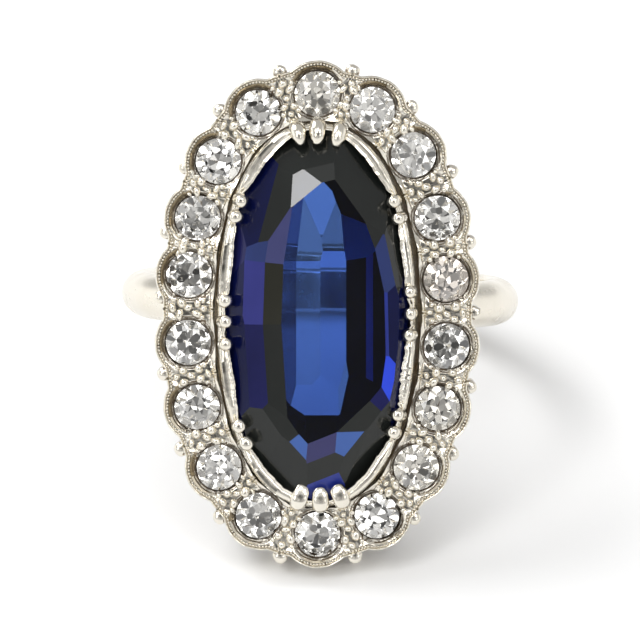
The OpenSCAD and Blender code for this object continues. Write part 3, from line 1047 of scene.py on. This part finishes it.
# The long facets of the underside. Each passes through x, y at a rise above the keel, and climbs
# by gx, gy per millimetre.
# the materials give each facet a tint or a painted backing of light and shade
UNDERSIDE = [
    (0.12, 0, 0, -0.14, 0, "window_left"),
    (0.12, 0, 0, 0.0875, 0, "window"),
    (-1.05, 0, 0.164, -0.40, 0, "dusk"),
    (-1.78, 0, 0.456, -0.93, 0, "back"),
    (-2.9, 0, 1.532, -1.06, 0, "back"),
    (1.39, 0, 0.111, 0.93, 0, "back"),
    (2.36, 0, 1.013, 1.0, 0, "film_royal"),
    (2.7, 0, 1.353, 1.08, 0, "back"),
    (3.35, 0, 2.062, 1.22, 0, "film_royal"),
    # the far end: a bright kite between two duller facets
    (0.14, 3.33, 0.02, 0.0, 0.12, "pale"),
    (0.12, 2.55, 0, -0.14, 0.0605, "shade"),
    (0.12, 3.04, 0, 0.0875, 0.086, "shade"),
    (-1.05, 2.55, 0.164, -0.40, 0.09, "dusk"),
    (1.39, 2.7, 0.13, 0.90, 0.16, "film_navy"),
    (0.9, 6.95, 0.46, 0.02, 0.8, "back"),
    # the near end: the window narrows between a thin bright facet and dark ones
    (0.14, -3.2, 0.02, 0.0, -0.11, "window"),
    (0.12, -3.5, 0, -0.14, -0.07, "window"),
    (0.12, -3.7, 0, 0.0875, -0.09, "window"),
    (1.30, -2.61, 0.10, 0.39, -0.087, "pale"),
    (1.62, -2.61, 0.235, 0.91, -0.20, "back"),
    (0.15, -5.0, 0.23, 0.0, -0.85, "back"),
    (-0.62, -5.05, 0.26, -0.75, -0.95, "dusk"),
    (0.9, -5.3, 0.45, 0.6, -0.95, "back")]


def through(p, q, r, kind):
    """The plane of a crown facet through three points, facing away from the stone's middle."""
    p, q, r = Vector(p), Vector(q), Vector(r)
    n = (q - p).cross(r - p).normalized()
    if n.dot(Vector((0, 0, 12)) - p) > 0:
        n = -n
    return p, n, kind


def crown_planes():
    """The crown's facets, from each edge of the table out to the girdle."""
    planes = []
    corners = [facets[0] for facets in CROWN] + [TABLE_END]
    for (a, steps, (x, y, last_kind)), b in zip(CROWN, corners[1:]):
        along = Vector((b[0] - a[0], b[1] - a[1], 0)).normalized()
        out = Vector((-along.y, along.x, 0))
        knee = (Vector((*a, TABLE_Z)) + Vector((*b, TABLE_Z))) / 2
        for slope, width, kind in steps:
            far = knee + out * width - Vector((0, 0, width * math.tan(math.radians(slope))))
            planes.append(through(knee - along, knee + along, far, kind))
            knee = far
        planes.append(through(knee - along, knee + along, (x, y, CROWN_Z), last_kind))
    # a facet that touches the table only at a corner of the near end
    a = math.radians(-54)
    wedge = Vector((math.cos(a) * 0.338, math.sin(a) * 0.338, 1)).normalized()
    planes.append((Vector((*CROWN[7][0], TABLE_Z)), wedge, "sky"))
    # the small facet that faces the main light, and the ones beyond it
    edge = (Vector((*corners[0], TABLE_Z)) - Vector((*TABLE_END, TABLE_Z))).normalized()
    out = Vector((-edge.y, edge.x, 0))
    tilt = math.radians(17.5)
    star = (out * math.sin(tilt) + Vector((0, 0, math.cos(tilt)))).normalized()
    planes.append((Vector((*corners[0], TABLE_Z)), star, "star"))
    z = TABLE_Z - 1.1 * math.tan(tilt)
    planes.append(through((-0.66, 7.18, z), (-1.15, 6.84, z), (-1.75, 8.4, CROWN_Z), "dark"))
    planes.append(through((-1.15, 6.84, z), (-1.15, 5.7, TABLE_Z - 0.05), (-3.2, 6.6, CROWN_Z), "dark"))
    # one more at each shoulder of the far end
    left = (-2.0, 6.9, CROWN_Z + 0.516), (-2.6, 4.6, CROWN_Z + 0.818), (-3.6, 5.6, CROWN_Z)
    right = (1.6, 8.2, CROWN_Z + 0.2), (2.7, 5.6, CROWN_Z + 0.66), (3.6, 5.9, CROWN_Z)
    planes.append(through(*left, "navy"))
    planes.append(through(*right, "dark"))
    return planes


def edge_planes():
    """The narrow bevel above the girdle, the girdle, and the steep rows below it."""
    planes = []
    rim = Oval(SAPPHIRE)

    def rim_at(u, z):
        p, n = rim.at(u)
        return Vector((p[0], p[1], z)), Vector((n[0], n[1], 0))

    bevel = math.radians(63)
    for k in range(28):
        at, n = rim_at((k + 0.5) / 28, CROWN_Z)
        n = n * math.sin(bevel) + Vector((0, 0, math.cos(bevel)))
        planes.append((at, n, "dark" if at.y > 5 else "navy"))
    for k in range(64):
        planes.append((*rim_at(k / 64, SAPPHIRE_Z), "navy"))
    down = Vector((0, 0, -1))
    for k in range(20):
        u = k / 20 + 0.002
        at, n = rim_at(u, SAPPHIRE_Z)
        planes.append((at, (n * 2.3 + down).normalized(), "back"))
        if abs(at.y) > 5.5:
            at, n = rim_at(u, SAPPHIRE_Z - 0.85)
            planes.append((at, (n * 1.12 + down).normalized(), "back"))
    return planes


def sapphire():
    keel = SAPPHIRE_Z - PAVILION_H
    planes = [(Vector((0, 0, TABLE_Z)), Vector((0, 0, 1)), "table")]
    planes += crown_planes() + edge_planes()
    for x, y, rise, gx, gy, kind in UNDERSIDE:
        planes.append((Vector((x, y, keel + rise)), Vector((gx, gy, -1)).normalized(), kind))
    kinds = list(SAPPHIRE_MATS)
    planes = [(c, n, kinds.index(kind)) for c, n, kind in planes]
    cut_stone("sapphire_cut", "sapphire", planes, list(SAPPHIRE_MATS.values()),
              (5, 9.5, 4), (0, 0, 12), Matrix.Identity(4))


sapphire()

# Floor
floor_z = cad_box[0][2]
bm = bmesh.new()
for x, y in ((-3, -3), (3, -3), (3, 3), (-3, 3)):
    bm.verts.new((x, y, floor_z))
bm.faces.new(bm.verts)
me = bpy.data.meshes.new("floor")
bm.to_mesh(me)
bm.free()
floor = bpy.data.objects.new("floor", me)
bpy.context.scene.collection.objects.link(floor)
mat_floor, _, shader = new_mat("floor")
shader.inputs["Base Color"].default_value = (0.93, 0.93, 0.93, 1)
shader.inputs["Roughness"].default_value = 0.9
shader.inputs["Specular IOR Level"].default_value = 0.1
me.materials.append(mat_floor)

# Light: a pale studio with soft panels, and one soft lamp
world = bpy.data.worlds.new("studio")
bpy.context.scene.world = world
world.use_nodes = True
world_tree = world.node_tree
background = world_tree.nodes["Background"]
sky = world_tree.nodes.new("ShaderNodeTexCoord").outputs["Generated"]


def math_node(op, a, b):
    n = world_tree.nodes.new("ShaderNodeMath")
    n.operation = op
    for k, v in enumerate((a, b)):
        if isinstance(v, float):
            n.inputs[k].default_value = v
        else:
            world_tree.links.new(v, n.inputs[k])
    return n.outputs[0]


def remap(value, mode, from_min, from_max, to_min, to_max):
    m = world_tree.nodes.new("ShaderNodeMapRange")
    m.interpolation_type = mode
    m.inputs["From Min"].default_value = from_min
    m.inputs["From Max"].default_value = from_max
    m.inputs["To Min"].default_value = to_min
    m.inputs["To Max"].default_value = to_max
    world_tree.links.new(value, m.inputs["Value"])
    return m.outputs["Result"]


def panel(ring_dir, inner, outer, value):
    """A soft round panel in the studio: value within inner degrees of a direction, 0 beyond outer."""
    dot = world_tree.nodes.new("ShaderNodeVectorMath")
    dot.operation = "DOT_PRODUCT"
    world_tree.links.new(sky, dot.inputs[0])
    dot.inputs[1].default_value = (place(ring_dir) - place((0, 0, 0))).normalized()
    near, far = math.cos(math.radians(inner)), math.cos(math.radians(outer))
    return remap(dot.outputs["Value"], "SMOOTHSTEP", far, near, 0.0, value)


def off_axis(angle, azimuth):
    """A direction in ring coordinates: angle from the stones' axis, azimuth from +x towards +y."""
    t, a = math.radians(angle), math.radians(azimuth)
    return (math.sin(t) * math.cos(a), math.sin(t) * math.sin(a), math.cos(t))


AMBIENT, UNEVEN = 0.54, 0.36
# angle and azimuth of each panel, its inner and outer radius in degrees, and its strength
PANELS = [
    (35, 130, 8, 14, 6.0), (37, 42, 8, 15, 3.2), (40, 88, 7, 13, 2.0), (33, 185, 6, 12, 2.2),
    (34, -12, 6, 12, 1.6), (95, 180, 20, 45, 0.9), (95, 0, 20, 45, 0.6)]
panels = [panel(off_axis(angle, azimuth), *spot) for angle, azimuth, *spot in PANELS]
level = panels[0]
for light in panels[1:]:
    level = math_node("ADD", level, light)
# round the stones' axis the studio is uneven, which the metal mirrors
walls = world_tree.nodes.new("ShaderNodeTexNoise")
walls.inputs["Scale"].default_value = 9.0
walls.inputs["Detail"].default_value = 3.0
world_tree.links.new(sky, walls.inputs["Vector"])
wall = remap(walls.outputs["Fac"], "LINEAR", 0.35, 0.65, -UNEVEN, UNEVEN)
round_axis = panel((0.0, 0.0, 1.0), 28, 50, 1.0)
level = math_node("ADD", level, math_node("MULTIPLY", wall, round_axis))
level = math_node("ADD", level, AMBIENT)
# the camera stands in a dark opening of the studio
opening = panel((0.0, 0.05, 1.0), 7, 13, 0.84)
level = math_node("MULTIPLY", level, math_node("SUBTRACT", 1.0, opening))
world_tree.links.new(level, background.inputs["Strength"])
background.inputs["Color"].default_value = (1, 1, 1, 1)

key = bpy.data.lights.new("key", "AREA")
key.shape = "RECTANGLE"
key.size = 150 * MM
key.size_y = 150 * MM
key.energy = 0.40
lamp = bpy.data.objects.new("key", key)
bpy.context.scene.collection.objects.link(lamp)
lamp_at, aim = place((-172, 243, 40)), place((0, 0, 10))
lamp.matrix_world = (lamp_at - aim).to_track_quat("Z", "Y").to_matrix().to_4x4()
lamp.location = lamp_at
